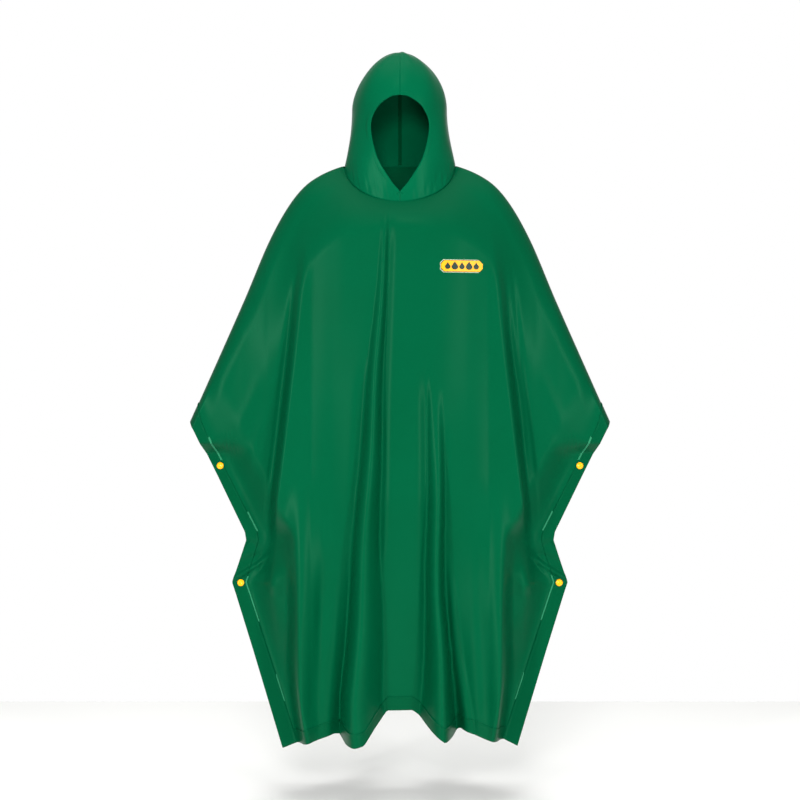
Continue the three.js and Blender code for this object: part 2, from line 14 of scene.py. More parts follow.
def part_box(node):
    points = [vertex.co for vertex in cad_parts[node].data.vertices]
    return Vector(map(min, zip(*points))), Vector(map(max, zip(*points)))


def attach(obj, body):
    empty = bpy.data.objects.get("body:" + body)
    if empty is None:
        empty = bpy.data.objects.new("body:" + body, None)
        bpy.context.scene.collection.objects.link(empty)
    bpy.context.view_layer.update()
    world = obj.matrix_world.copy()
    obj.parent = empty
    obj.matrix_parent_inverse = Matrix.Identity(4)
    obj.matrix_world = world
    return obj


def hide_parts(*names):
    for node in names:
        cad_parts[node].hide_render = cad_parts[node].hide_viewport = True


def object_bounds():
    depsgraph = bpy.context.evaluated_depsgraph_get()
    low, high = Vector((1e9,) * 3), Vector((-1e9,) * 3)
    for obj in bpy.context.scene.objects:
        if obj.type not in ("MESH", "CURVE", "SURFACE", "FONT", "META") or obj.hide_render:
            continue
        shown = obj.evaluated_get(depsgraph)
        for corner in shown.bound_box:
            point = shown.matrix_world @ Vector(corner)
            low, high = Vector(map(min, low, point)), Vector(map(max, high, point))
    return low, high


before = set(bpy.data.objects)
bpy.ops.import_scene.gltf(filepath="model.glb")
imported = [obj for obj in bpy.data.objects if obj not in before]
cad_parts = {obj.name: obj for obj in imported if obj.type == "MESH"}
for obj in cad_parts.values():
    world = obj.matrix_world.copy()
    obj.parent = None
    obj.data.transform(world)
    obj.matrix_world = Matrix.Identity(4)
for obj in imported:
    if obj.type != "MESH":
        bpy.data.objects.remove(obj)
cad_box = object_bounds()
MM = 0.001

# ---- camera, in metres ----
CAMERA_AWAY = 3.6
CAMERA_DROP = 0.006  # below the middle of the garment's height
FRAME_WIDTH = 1.847  # what the frame takes in at the wearer's plane
SENSOR = 36.0
cad_low, cad_high = cad_box
CAMERA_HEIGHT = (cad_low.z + cad_high.z) / 2 - CAMERA_DROP

camera_data = bpy.data.cameras.new("camera")
camera_data.sensor_width = SENSOR
camera_data.lens = SENSOR * CAMERA_AWAY / FRAME_WIDTH
camera = bpy.data.objects.new("camera", camera_data)
camera.location = (0, -CAMERA_AWAY, CAMERA_HEIGHT)
camera.rotation_euler = (math.radians(90), 0, 0)
bpy.context.scene.collection.objects.link(camera)
bpy.context.scene.camera = camera

# ---- driving sizes, in millimetres ----
SHEET = 0.7  # drawn thickness of the coated sheet
BAND = 32
CASING = 11
NECK = dict(half_width=127, side_height=12, front_depth=98, back_depth=85, front_dip=94, back_lift=10)
WRIST = dict(x=480, drop=577, y=-20)
HEM_CORNER = 266
HEM_DROP = 1317
RIDGE = [(0, 36), (127, 12), (203, -23), (250, -73), (300, -162), (358, -300), (480, -577)]
# the free side edge, as (drop, x), and how far each panel stands out along it, as (drop, value)
SIDE = [(577, 480), (831, 356), (850, 353), (947, 386), (1317, 266)]
SIDE_OPENING = [(577, 34), (625, 34), (645, 6), (650, 1.2), (704, 1.2), (770, 6), (850, 10), (905, 1.2),
                (968, 1.2), (1100, 18), (1317, 60)]
NECK_STATIONS = [0, 28, 45, 62, 80, 99, 118, 137, 143, 148, 152]
# hem positions of the columns that start on the neckline, then along the arm, then in the side band
STATIONS = NECK_STATIONS + [165, 178, 191, 204, 218, 232] + [249, HEM_CORNER]
NECK_LAST = len(NECK_STATIONS) - 1
BAND_STATION = STATIONS.index(232)
LAST_STATION = len(STATIONS) - 1
BAND_TOP = 461  # where the side band starts along the arm
BAND_RISE = 14
ROUND_SHARE = 0.09  # of a column's length, over the round of the shoulder
HEM_SHARE = 0.95  # of a side column's length, where it starts to bend to the hem
FLAT_EDGE = 30
CHEST_REACH = 180
ARM_ROUND = dict(reach=45, rise=48)
NOTCH_DENT = dict(start=(353, 862), end=(327, 905), radius=14, depth=20, floor=5)
ARM_STEP = dict(line=[(231, 235), (900, 314)], width=26,
                amount=[(180, 0), (300, 20), (450, 45), (620, 60), (800, 60), (880, 45), (980, 0)])
HIP_STEP = dict(line=[(800, 264), (1317, 250)], width=36, amount=[(800, 0), (973, 45), (1317, 55)])

# A fold has its crest line as (drop, x), its half widths and its rise as (drop, value), and may have
# crisp feet, as where the sheet is nearly folded on itself.
FRONT = dict(
    sign=-1, chest=140, chest_fall=27,
    neck_turns={1: [0, 7, 13, 19, 25, 31, 37, 43, 55, 71, 90],
                -1: [0, 3, 5, 7.5, 10, 12.6, 16, 21, 40, 64, 90]},
    trough=dict(inner=110, outer=190, amount=[(500, 0), (752, 8), (973, 32), (1300, 62)]),
    hem=[(-266, -1317), (-232, -1304), (-201, -1293), (-149, -1278), (-137, -1280), (-120, -1294),
         (-99, -1296), (-80, -1291), (-58, -1261), (-28, -1228), (28, -1227), (44, -1239), (72, -1263),
         (99, -1284), (117, -1279), (137, -1266), (193, -1286), (232, -1296), (266, -1312)],
    folds=[
        dict(crest=[(81, -28), (1193, -101), (1317, -99)], crisp=True,
             rise=[(100, 0), (310, 10), (531, 26), (752, 40), (973, 60), (1317, 102)],
             right=[(81, 9), (531, 18), (752, 27), (1317, 34)],
             left=[(81, 9), (531, 17), (752, 26), (973, 46), (1317, 72)]),
        dict(crest=[(500, 84), (973, 84), (1317, 99)], crisp=True,
             rise=[(500, 0), (640, 12), (752, 28), (973, 50), (1317, 102)],
             right=[(500, 20), (973, 27), (1317, 55)], left=[(500, 12), (973, 18), (1317, 34)]),
        dict(crest=[(880, 106), (1250, 146)], crisp=True, rise=[(860, 0), (973, 8), (1317, 16)],
             right=[(880, 9), (1317, 14)], left=[(880, 10), (1317, 22)]),
        dict(crest=[(700, -215), (1317, -231)], crisp=False, rise=[(690, 0), (880, 18), (1317, 32)],
             right=[(700, 36)], left=[(700, 50)]),
        dict(crest=[(700, 215), (1317, 231)], crisp=False, rise=[(690, 0), (880, 14), (1317, 30)],
             right=[(700, 50)], left=[(700, 36)]),
        dict(crest=[(850, -162), (1250, -180)], crisp=False, rise=[(850, 0), (1000, -7), (1317, -7)],
             right=[(850, 24)], left=[(850, 30)]),
    ],
)
EVEN_TURNS = [0, 8, 16, 24, 31, 38, 45, 52, 63, 76, 90]
BACK = dict(
    sign=1, chest=122, chest_fall=14, neck_turns={1: EVEN_TURNS, -1: EVEN_TURNS},
    trough=dict(inner=70, outer=170, amount=[(450, 0), (752, 10), (973, 24), (1300, 40)]),
    hem=[(-266, -1317), (-232, -1302), (-180, -1286), (-137, -1298), (-99, -1300), (-62, -1262), (0, -1250),
         (44, -1256), (80, -1298), (117, -1300), (152, -1276), (204, -1290), (232, -1298), (266, -1312)],
    folds=[
        dict(crest=[(170, -62), (1317, -112)], crisp=True, rise=[(190, 0), (531, 16), (973, 48), (1317, 70)],
             right=[(190, 24), (1317, 40)], left=[(190, 22), (1317, 46)]),
        dict(crest=[(330, 70), (1317, 100)], crisp=True, rise=[(330, 0), (640, 18), (973, 46), (1317, 72)],
             right=[(330, 26), (1317, 50)], left=[(330, 20), (1317, 38)]),
        dict(crest=[(620, -215), (1317, -226)], crisp=False, rise=[(620, 0), (880, 16), (1317, 30)],
             right=[(700, 36)], left=[(700, 50)]),
        dict(crest=[(620, 208), (1317, 226)], crisp=False, rise=[(620, 0), (880, 16), (1317, 30)],
             right=[(700, 50)], left=[(700, 36)]),
    ],
)
HOOD = dict(top=272, crown=139, half_width=109, flare=18, front=112, back=125)
FACE_EDGE = [(0, -61), (24, -31), (53, 20), (67, 89), (52, 129), (23, 151), (0, 156)]


# ---- curves and easing, on numbers or arrays ----
def ease(q):
    q = np.clip(q, 0, 1)
    return q * q * (3 - 2 * q)


def round_over(q):
    return np.sqrt(1 - (1 - np.clip(q, 0, 1)) ** 2)


def track(points, at):
    """Straight lines through (at, value) points, level past their ends."""
    return np.interp(at, [p[0] for p in points], [p[1] for p in points])


def curve(points, at):
    """A smooth curve through (at, value) points."""
    a, v = np.array(points, float).T
    slope = np.empty_like(v)
    slope[1:-1] = (v[2:] - v[:-2]) / (a[2:] - a[:-2])
    slope[0], slope[-1] = (v[1] - v[0]) / (a[1] - a[0]), (v[-1] - v[-2]) / (a[-1] - a[-2])
    i = np.clip(np.searchsorted(a, at) - 1, 0, len(a) - 2)
    run, rise = a[i + 1] - a[i], v[i + 1] - v[i]
    s = (at - a[i]) / run
    start, end = slope[i] * run, slope[i + 1] * run
    return v[i] + start * s + (3 * rise - 2 * start - end) * s ** 2 + (start + end - 2 * rise) * s ** 3


def spline(points, count):
    """count points spaced evenly along a smooth open curve through the given ones."""
    p = np.array(points, float)
    p = np.vstack([2 * p[0] - p[1], p, 2 * p[-1] - p[-2]])
    fine = []
    for i in range(1, len(p) - 2):
        s = np.linspace(0, 1, 40, endpoint=False)[:, None]
        a, b, c, d = p[i - 1], p[i], p[i + 1], p[i + 2]
        fine.append(0.5 * (2 * b + (c - a) * s + (2 * a - 5 * b + 4 * c - d) * s ** 2
                           + (3 * b - a - 3 * c + d) * s ** 3))
    fine = np.vstack(fine + [p[-2:-1]])
    along = np.concatenate([[0], np.cumsum(np.linalg.norm(np.diff(fine, axis=0), axis=1))])
    at = np.linspace(0, along[-1], count)
    return np.stack([np.interp(at, along, fine[:, k]) for k in range(p.shape[1])], axis=1)


def ripple(a, b, *waves):
    """Small uneven waves over two coordinates: each is (height, length along a, length along b, start)."""
    total = 0
    for height, along_a, along_b, start in waves:
        total = total + height * np.sin(2 * math.pi * (a / along_a + b / along_b) + start)
    return total


# ---- the cloth's shape ----
def ridge_height(across):
    return curve(RIDGE, across)


def ridge_slope(across):
    return (ridge_height(across + 1) - ridge_height(across - 1)) / 2


def middle_y(across):
    return WRIST["y"] * np.clip((across - 150) / (WRIST["x"] - 150), 0, 1)


def side_edge(drop):
    return np.where(drop < WRIST["drop"], WRIST["x"] + (WRIST["drop"] - drop) * 0.488, track(SIDE, drop))


def neck_point(angle):
    """A point of the neckline: angle is 0 in front and positive on the wearer's left."""
    c, s = np.cos(angle), np.sin(angle)
    depth = np.where(c > 0, NECK["front_depth"], NECK["back_depth"])
    lift = np.where(c > 0, NECK["front_dip"], NECK["back_lift"])
    return np.stack([NECK["half_width"] * s, -c * depth, NECK["side_height"] - c * lift], axis=-1)


def fold_height(fold, x, drop):
    off = x - track(fold["crest"], drop) - 2.0 * np.sin(drop / 61.0 + fold["crest"][0][1])
    reach = np.where(off < 0, track(fold["right"], drop), track(fold["left"], drop))
    q = np.minimum(1, np.abs(off) / reach)
    shape = np.cos(q * math.pi / 2) if fold["crisp"] else (1 + np.cos(q * math.pi)) / 2
    return track(fold["rise"], drop) * shape


def step_height(step, across, drop):
    return track(step["amount"], drop) * ease((across - track(step["line"], drop)) / step["width"] + 1)


def notch_dent(across, drop):
    start, end = np.array(NOTCH_DENT["start"], float), np.array(NOTCH_DENT["end"], float)
    run = end - start
    s = np.clip(((across - start[0]) * run[0] + (drop - start[1]) * run[1]) / run.dot(run), 0, 1)
    away = np.hypot(across - start[0] - s * run[0], drop - start[1] - s * run[1])
    return NOTCH_DENT["depth"] * np.exp(-(away / NOTCH_DENT["radius"]) ** 2)


# Fine creases drawn on each panel: a path of (drop, x) in mm, its height (below 0 for a trough), and the half
# widths of its two feet, to the wearer's right and left. Each dies away at both ends.
FINE = {
    -1: [
        # the long flute beside each arm: a narrow trough outside it and a low ridge inside
        dict(path=[(215, -232), (370, -254), (495, -270), (623, -286), (762, -304), (905, -318)],
             height=-3.5, feet=(6, 14)),
        dict(path=[(230, -222), (495, -256), (762, -286), (900, -300)], height=2.5, feet=(10, 16)),
        dict(path=[(200, 250), (370, 268), (531, 286), (646, 300), (785, 315), (900, 322)],
             height=-3.5, feet=(14, 6)),
        dict(path=[(205, 238), (393, 250), (531, 274), (700, 290)], height=-3.5, feet=(10, 6)),
        # beside the middle fold, from the throat down
        dict(path=[(90, -22), (300, -30), (531, -38), (752, -42), (930, -50)], height=-7, feet=(7, 15)),
        dict(path=[(430, -76), (645, -90), (880, -105), (1130, -124), (1290, -140)], height=-6, feet=(14, 6)),
        # beside the left fold, from the waist down
        dict(path=[(440, 58), (645, 60), (980, 60), (1120, 62), (1250, 58)], height=-8, feet=(16, 8)),
        dict(path=[(560, 99), (752, 98), (1000, 106), (1240, 112)], height=-5, feet=(6, 12)),
        # loose flutes low on each side
        dict(path=[(700, -262), (900, -270), (1120, -262), (1260, -256)], height=-6, feet=(16, 22)),
        dict(path=[(820, 262), (1000, 268), (1180, 262), (1280, 258)], height=-6, feet=(22, 16)),
        dict(path=[(880, -178), (1100, -186), (1270, -196)], height=-5, feet=(16, 20)),
        dict(path=[(930, 180), (1100, 184), (1270, 190)], height=-4, feet=(18, 20)),
        # pulls across the lower sleeves, towards each wrist
        dict(path=[(430, -300), (560, -350), (640, -392)], height=2.2, feet=(20, 20)),
        dict(path=[(520, -292), (640, -330), (730, -368)], height=2.0, feet=(18, 18)),
        dict(path=[(430, 306), (560, 356), (640, 396)], height=2.0, feet=(20, 20)),
        dict(path=[(560, 320), (660, 352), (740, 374)], height=1.8, feet=(18, 18)),
    ],
    1: [
        dict(path=[(200, -240), (495, -268), (762, -300), (900, -316)], height=-8, feet=(9, 24)),
        dict(path=[(200, 240), (495, 270), (762, 300), (900, 316)], height=-8, feet=(24, 9)),
        dict(path=[(160, -40), (531, -50), (880, -66), (1250, -76)], height=-6, feet=(8, 15)),
        dict(path=[(330, 44), (700, 54), (1100, 58), (1280, 56)], height=-6, feet=(14, 8)),
        dict(path=[(700, -258), (1000, -264), (1260, -256)], height=-6, feet=(16, 22)),
        dict(path=[(760, 258), (1000, 264), (1260, 256)], height=-6, feet=(22, 16)),
        dict(path=[(820, 10), (1050, 6), (1250, 0)], height=-4, feet=(20, 20)),
        dict(path=[(450, 310), (640, 392)], height=2.0, feet=(20, 20)),
        dict(path=[(450, -310), (640, -392)], height=2.0, feet=(20, 20)),
    ],
}


def fine_creases(panel, x, drop):
    total = 0
    for crease in FINE[panel["sign"]]:
        start, end = crease["path"][0][0], crease["path"][-1][0]
        off = x - curve(crease["path"], np.clip(drop, start, end))
        reach = np.where(off < 0, *crease["feet"])
        run = ease((drop - start) / 110) * ease((end - drop) / 90)
        total = total + crease["height"] * run * np.exp(-(off / reach) ** 2 * 1.6)
    return total


BACK_PLEAT = 0.6  # the back's pleat beside the front's
PLEAT = dict(start=(312, 897), end=(384, 942), ridge=8, foot=5, valley=7, valley_at=15, valley_foot=9)


def pleat_height(across, drop):
    """The pleat from the notch to the lower band's corner: a ridge hanging over, a shaded valley above."""
    start, end = np.array(PLEAT["start"], float), np.array(PLEAT["end"], float)
    run = end - start
    length = np.hypot(*run)
    along = ((across - start[0]) * run[0] + (drop - start[1]) * run[1]) / length
    off = ((drop - start[1]) * run[0] - (across - start[0]) * run[1]) / length
    hold = ease((along + 22) / 30) * ease((length + 4 - along) / 24)
    ridge = PLEAT["ridge"] * np.exp(-(off / np.where(off > 0, PLEAT["foot"] * 0.7, PLEAT["foot"] * 1.5)) ** 2)
    valley = PLEAT["valley"] * np.exp(-((off + PLEAT["valley_at"]) / PLEAT["valley_foot"]) ** 2)
    return hold * (ridge - valley * ease((length - along) / 30))


def body_depth(panel, x, z):
    """How far a panel stands out from the plane of the arms, before it is fitted to the neckline."""
    across, drop = np.abs(x), -z
    below = np.maximum(0, (ridge_height(across) - z) / np.hypot(1, ridge_slope(across)))
    full = panel["chest"] - panel["chest_fall"] * np.minimum(1, (x / 200) ** 2)
    trough = panel["trough"]
    full = full - track(trough["amount"], drop) * (
        1 - ease((across - trough["inner"]) / (trough["outer"] - trough["inner"])))
    full = full - step_height(ARM_STEP, across, drop) - step_height(HIP_STEP, across, drop)
    full = np.maximum(full, ARM_ROUND["rise"] + 4)
    depth = ARM_ROUND["rise"] * round_over(below / ARM_ROUND["reach"])
    depth = depth + (full - ARM_ROUND["rise"]) * ease(below / CHEST_REACH)
    for fold in panel["folds"]:
        depth = depth + fold_height(fold, x, drop) * ease(below / 90)
    depth = depth + ease(below / 90) * fine_creases(panel, x, drop)
    depth = depth + ease(below / 60) * ripple(
        x, z, (0.8, 190, 1460, 0.4), (0.5, -130, 940, 1.9), (0.2, 87, -710, 3.1))
    inward = (side_edge(drop) - across) * 0.9
    closing = ease((inward - FLAT_EDGE) / track([(900, 80), (HEM_DROP, 34)], drop))
    depth = closing * depth + (1 - closing) * np.minimum(depth, track(SIDE_OPENING, drop))
    dent = notch_dent(across, drop) * ease(inward / 20)
    depth = depth - np.minimum(dent, np.maximum(0, depth - NOTCH_DENT["floor"]))
    pleat = pleat_height(across, drop) * (1 if panel["sign"] < 0 else BACK_PLEAT)
    return np.maximum(np.minimum(depth, 1.0), depth + pleat)


def panel_depth(panel, x, z):
    """body_depth, drawn to the neckline near the neck."""
    front = panel["sign"] < 0
    out = np.abs(x) / NECK["half_width"]
    down = np.maximum(0, NECK["side_height"] - z) / NECK["front_dip"]
    turn = np.arctan2(out, down) if front else math.pi - np.arcsin(np.minimum(1, out))
    neck = neck_point(turn)
    miss = np.abs(neck[..., 1]) - body_depth(panel, np.sign(x) * neck[..., 0], neck[..., 2])
    away = (np.hypot(out, down) - 1) * 1.6 if front else (neck[..., 2] - z) / 60
    share = 1 if front else ease((1 - out) * 2.2)
    return body_depth(panel, x, z) + miss * share * np.exp(-np.maximum(0, away))


ARM_X = np.arange(NECK["half_width"], BAND_TOP + 1.0)
ARM_LENGTH = np.concatenate([[0], np.cumsum(np.hypot(1, np.diff(ridge_height(ARM_X))))])


def panel_columns(panel, stations):
    """Where columns start and end, for signed station numbers that may lie between the named stations."""
    side, station = np.where(stations < 0, -1, 1), np.abs(stations)
    hem_x = side * np.interp(station, np.arange(len(STATIONS)), STATIONS)
    turns = [np.interp(station, np.arange(NECK_LAST + 1), panel["neck_turns"][s]) for s in (-1, 1)]
    turn = np.radians(np.where(side < 0, turns[0], turns[1]))
    neck = neck_point(side * (turn if panel["sign"] < 0 else math.pi - turn))
    share = np.clip((station - NECK_LAST) / (BAND_STATION - NECK_LAST), 0, 1)
    edge = np.maximum(0, (station - BAND_STATION) / (LAST_STATION - BAND_STATION))
    arm_x = np.interp(share * ARM_LENGTH[-1], ARM_LENGTH, ARM_X)
    arm_x = np.where(station > BAND_STATION, BAND_TOP + (WRIST["x"] - BAND_TOP) * edge, arm_x)
    on_neck = station <= NECK_LAST
    return dict(
        side=side, hem_x=hem_x, hem_z=track(panel["hem"], hem_x),
        x=np.where(on_neck, neck[:, 0], side * arm_x), z=np.where(on_neck, neck[:, 2], ridge_height(arm_x)),
        y=np.where(on_neck, neck[:, 1], middle_y(arm_x)), hug=ease(share),
        square=ease(1 - (BAND_STATION - station)), rise=BAND_RISE * (1 - edge),
        edge_z=np.where(side < 0, track(panel["hem"], -HEM_CORNER), track(panel["hem"], HEM_CORNER)),
    )


def panel_points(panel, stations, t):
    """Points of a panel's middle surface: stations is a row of column places, t is the way down, 0 to 1,
    either one for each row or a table with one for each point."""
    c = panel_columns(panel, np.asarray(stations, float))
    t = np.asarray(t, float)
    t = t[:, None] + 0 * c["x"] if t.ndim == 1 else t
    straight_z = c["z"] + (c["hem_z"] - c["z"]) * t
    edge_z = -WRIST["drop"] + (c["edge_z"] + WRIST["drop"]) * t
    top, low = c["z"] + WRIST["drop"], c["hem_z"] - c["edge_z"]
    off = np.where(t < ROUND_SHARE, top + (c["rise"] - top) * t / ROUND_SHARE,
                   np.where(t < HEM_SHARE, c["rise"],
                            c["rise"] + (low - c["rise"]) * (t - HEM_SHARE) / (1 - HEM_SHARE)))
    z = straight_z + (edge_z + off - straight_z) * c["square"]
    straight_x = WRIST["x"] + (-z - WRIST["drop"]) * (HEM_CORNER - WRIST["x"]) / (HEM_DROP - WRIST["drop"])
    shift = np.where(-z > WRIST["drop"], side_edge(-z) - straight_x, 0) * c["hug"] * c["side"]
    x = c["x"] + (c["hem_x"] - c["x"]) * t + shift
    y = middle_y(np.abs(x)) + panel["sign"] * panel_depth(panel, x, z)
    # The first row is sewn to the neckline or meets the other panel along the arm.
    start_x, start_z = c["x"][None, :], c["z"][None, :]
    start_y = middle_y(np.abs(start_x)) + panel["sign"] * panel_depth(panel, start_x, start_z)
    length = np.hypot(c["hem_x"] - c["x"], c["hem_z"] - c["z"])
    y = y + (c["y"] - start_y) * np.exp(-t * length / 15)
    return np.stack([x, y, z], axis=-1)


def surface_normals(points, sign):
    across, down = np.gradient(points, axis=1), np.gradient(points, axis=0)
    n = sign * np.cross(across, down)
    return n / np.maximum(1e-9, np.linalg.norm(n, axis=-1, keepdims=True))


def hood_width(z):
    up = np.clip((z - HOOD["crown"]) / (HOOD["top"] - HOOD["crown"]), 0, 1)
    down = np.clip((HOOD["crown"] - z) / (HOOD["crown"] - NECK["side_height"]), 0, 1)
    return HOOD["half_width"] * np.maximum(0, 1 - up ** 1.8) ** 0.58 + HOOD["flare"] * down ** 1.6


def hood_depth(z, front):
    up = np.clip((z - HOOD["crown"]) / (HOOD["top"] - HOOD["crown"]), 0, 1)
    foot = NECK["side_height"] - NECK["front_dip"]
    down = np.clip((HOOD["crown"] - z) / (HOOD["crown"] - foot), 0, 1)
    round_top = np.sqrt(1 - up ** 2)
    front_depth = HOOD["front"] * round_top - (HOOD["front"] - NECK["front_depth"]) * down ** 2
    back_foot = NECK["side_height"] + NECK["back_lift"]
    fill = ease((z - back_foot) / (HOOD["crown"] - back_foot))
    back_depth = (NECK["back_depth"] + (HOOD["back"] - NECK["back_depth"]) * fill) * round_top
    return np.where(front, front_depth, back_depth)


def hood_point(angle, z):
    c = np.cos(angle)
    return np.stack([hood_width(z) * np.sin(angle), -c * hood_depth(z, c > 0), z + 0 * angle], axis=-1)


def hood_front(x, z):
    """The hood's surface seen from the front, for the pieces on it."""
    return hood_point(np.arcsin(np.clip(x / np.maximum(1, hood_width(z)), -1, 1)), z)


# ---- meshes ----
def new_object(name, bm, smooth=True):
    mesh = bpy.data.meshes.new(name)
    bm.to_mesh(mesh)
    bm.free()
    for polygon in mesh.polygons:
        polygon.use_smooth = smooth
    obj = bpy.data.objects.new(name, mesh)
    bpy.context.scene.collection.objects.link(obj)
    return obj


def cloth_grid(name, points, out, thickness=SHEET):
    """A sheet from a table of points in millimetres; out gives the way its outer face looks."""
    rows, columns = points.shape[:2]
    bm = bmesh.new()
    bmesh.ops.create_grid(bm, x_segments=columns - 1, y_segments=rows - 1, size=0.5)
    for vert in bm.verts:
        column = round((vert.co.x + 0.5) * (columns - 1))
        row = round((0.5 - vert.co.y) * (rows - 1))
        vert.co = Vector(points[row, column]) * MM
    bmesh.ops.remove_doubles(bm, verts=bm.verts, dist=1e-6)
    bmesh.ops.dissolve_degenerate(bm, edges=bm.edges, dist=1e-7)
    bm.normal_update()
    facing = sum(face.normal.dot(out(face.calc_center_median())) * face.calc_area() for face in bm.faces)
    if facing < 0:
        bmesh.ops.reverse_faces(bm, faces=bm.faces)
    obj = new_object(name, bm)
    shell = obj.modifiers.new("sheet", "SOLIDIFY")
    shell.thickness = thickness * MM
    shell.offset = 0
    return obj


def extrude_out(bm, height):
    """Gives a flat plate on the chest its thickness, away from the cloth."""
    extruded = bmesh.ops.extrude_face_region(bm, geom=bm.faces[:])
    lifted = [e for e in extruded["geom"] if isinstance(e, bmesh.types.BMVert)]
    bmesh.ops.translate(bm, verts=lifted, vec=Vector((0, -height * MM, 0)))
    bmesh.ops.recalc_face_normals(bm, faces=bm.faces)


def finish_piece(obj, material, slot, *nodes):
    """Gives a piece its material and the root body, and hides the nodes it replaces; slot is not used. Detail
    with no solid of its own has none.
    """
    obj.data.materials.append(material)
    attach(obj, "root")
    if nodes:
        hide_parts(*nodes)
    return obj


# ---- materials ----
def srgb(text):
    """Linear colour of an sRGB hex value."""
    channels = [int(text[i:i + 2], 16) / 255 for i in (1, 3, 5)]
    return [c / 12.92 if c <= 0.04045 else ((c + 0.055) / 1.055) ** 2.4 for c in channels] + [1.0]


def node(tree, kind, settings=None, **links):
    """Adds a node. settings are its own properties and input values by name, links are input sockets."""
    made = tree.nodes.new(kind)
    for name, value in (settings or {}).items():
        if hasattr(made, name):
            setattr(made, name, value)
        else:
            made.inputs[name].default_value = value
    for name, socket in links.items():
        tree.links.new(socket, made.inputs[name.replace("_", " ")])
    return made


def new_material(name):
    material = bpy.data.materials.new(name)
    material.use_nodes = True
    tree = material.node_tree
    return material, tree, tree.nodes["Principled BSDF"], tree.nodes.new("ShaderNodeTexCoord")


def coated_sheet(name, base, deep, roughness):
    """PVC-coated polyester, calendered: a smooth satin skin, faintly grained by the cloth under it. To the
    eye it is one even green with a soft broad sheen on each fold and a very fine tooth close to."""
    material, tree, skin, place = new_material(name)
    # 160 mm patches: how evenly the skin took its colour
    patches = node(tree, "ShaderNodeTexNoise", {"Scale": 1 / 0.16, "Detail": 3.0, "Roughness": 0.55},
                   Vector=place.outputs["Object"])
    # 2.4 mm grain; the real cloth's is under 1 mm and wouldn't show
    grain = node(tree, "ShaderNodeTexNoise", {"Scale": 1 / 0.0024, "Detail": 2.0, "Roughness": 0.6},
                 Vector=place.outputs["Object"])
    tone = node(tree, "ShaderNodeValToRGB", Fac=patches.outputs["Fac"])
    tone.color_ramp.elements[0].position, tone.color_ramp.elements[0].color = 0.3, srgb(deep)
    tone.color_ramp.elements[1].position, tone.color_ramp.elements[1].color = 0.7, srgb(base)
    tree.links.new(tone.outputs["Color"], skin.inputs["Base Color"])
    sheen = node(tree, "ShaderNodeMapRange", {"To Min": roughness - 0.04, "To Max": roughness + 0.06},
                 Value=grain.outputs["Fac"])
    tree.links.new(sheen.outputs["Result"], skin.inputs["Roughness"])
    tooth = node(tree, "ShaderNodeBump", {"Strength": 0.12, "Distance": 0.0002}, Height=grain.outputs["Fac"])
    tree.links.new(tooth.outputs["Normal"], skin.inputs["Normal"])
    skin.inputs["IOR"].default_value = 1.5
    skin.inputs["Specular IOR Level"].default_value = 0.09
    skin.inputs["Specular Tint"].default_value = srgb("#9be8c4")
    return material


def moulded_plastic(name, colour, roughness):
    """Injection-moulded polypropylene: bright solid colour, glossy with a trace of orange peel."""
    material, tree, skin, place = new_material(name)
    peel = node(tree, "ShaderNodeTexNoise", {"Scale": 1 / 0.0015, "Detail": 1.0},
                Vector=place.outputs["Object"])
    bump = node(tree, "ShaderNodeBump", {"Strength": 0.05, "Distance": 0.0002}, Height=peel.outputs["Fac"])
    tree.links.new(bump.outputs["Normal"], skin.inputs["Normal"])
    skin.inputs["Base Color"].default_value = srgb(colour)
    skin.inputs["Roughness"].default_value = roughness
    skin.inputs["IOR"].default_value = 1.49
    return material


body_cloth = coated_sheet("pvc_coated_polyester", "#004a2d", "#00482b", 0.34)
# the hood is the body's sheet; its lighter green is painted light, for the hood's more brightly lit faces
hood_cloth_painted_lighter = coated_sheet("pvc_coated_polyester_hood_painted_lighter", "#005435", "#005233", 0.34)
band_cloth = coated_sheet("welded_double_sheet", "#00462a", "#004428", 0.34)
tape_cloth = coated_sheet("seam_tape_film", "#003f24", "#003c22", 0.36)
# a lighter green for the weld beads: a painted highlight, not the sheet's own colour
weld_painted_glint_film = coated_sheet("welded_seam_bead_painted_glint", "#2b7a58", "#267050", 0.3)
snap_plastic = moulded_plastic("moulded_polypropylene_yellow", "#f0a800", 0.25)
badge_plastic = moulded_plastic("moulded_pvc_amber", "#f0a000", 0.4)
rim_plastic = moulded_plastic("moulded_pvc_pale_rim", "#a9b89c", 0.5)
print_plastic = moulded_plastic("moulded_pvc_dark_green", "#04281b", 0.45)


# ---- body panels, their hem bands and side bands ----
COLUMN_COUNT = 220
ROW_COUNT = 200
BAND_ACROSS = 15  # points across a band
BAND_LIFT = 1.0  # of a band's middle over the panel's
BAND_THICKNESS = 0.6
BAND_INSET = 0.02  # in stations, from the hem band's ends and the weld to the side band
WELD = dict(half_width=0.07, across=5, along=60, lift=1.15, height=0.8, thickness=0.4)  # width in stations
# where the bead's painted highlight shows, in shares of the way down the seam
PAINTED_GLINT_STRETCHES = [(0.075, 0.14), (0.30, 0.36), (0.50, 0.64), (0.80, 0.88)]


def even_stations(panel, count, first=-LAST_STATION, last=LAST_STATION):
    """Column places spaced evenly, by three parts of their run along the hem to one along the top."""
    places = np.linspace(first, last, 600)
    c = panel_columns(panel, places)
    run = 0.75 * np.abs(np.gradient(c["hem_x"])) + 0.25 * np.hypot(np.gradient(c["x"]), np.gradient(c["z"]))
    total = np.cumsum(run)
    return np.interp(np.linspace(total[0], total[-1], count), total, places)


def body_rows(count):
    """Row positions, close together over the round of the shoulder, with rows at the notch and the corner."""
    round_rows = 0.18  # of all rows, over the round of the shoulder
    anchors = [(0, 0), (round_rows, ROUND_SHARE), (0.42, 0.343), (0.45, 0.369), (0.57, 0.5), (1, 1)]
    q = np.linspace(0, 1, count)
    return np.where(q < round_rows, ROUND_SHARE * (q / round_rows) ** 1.6, track(anchors, q))


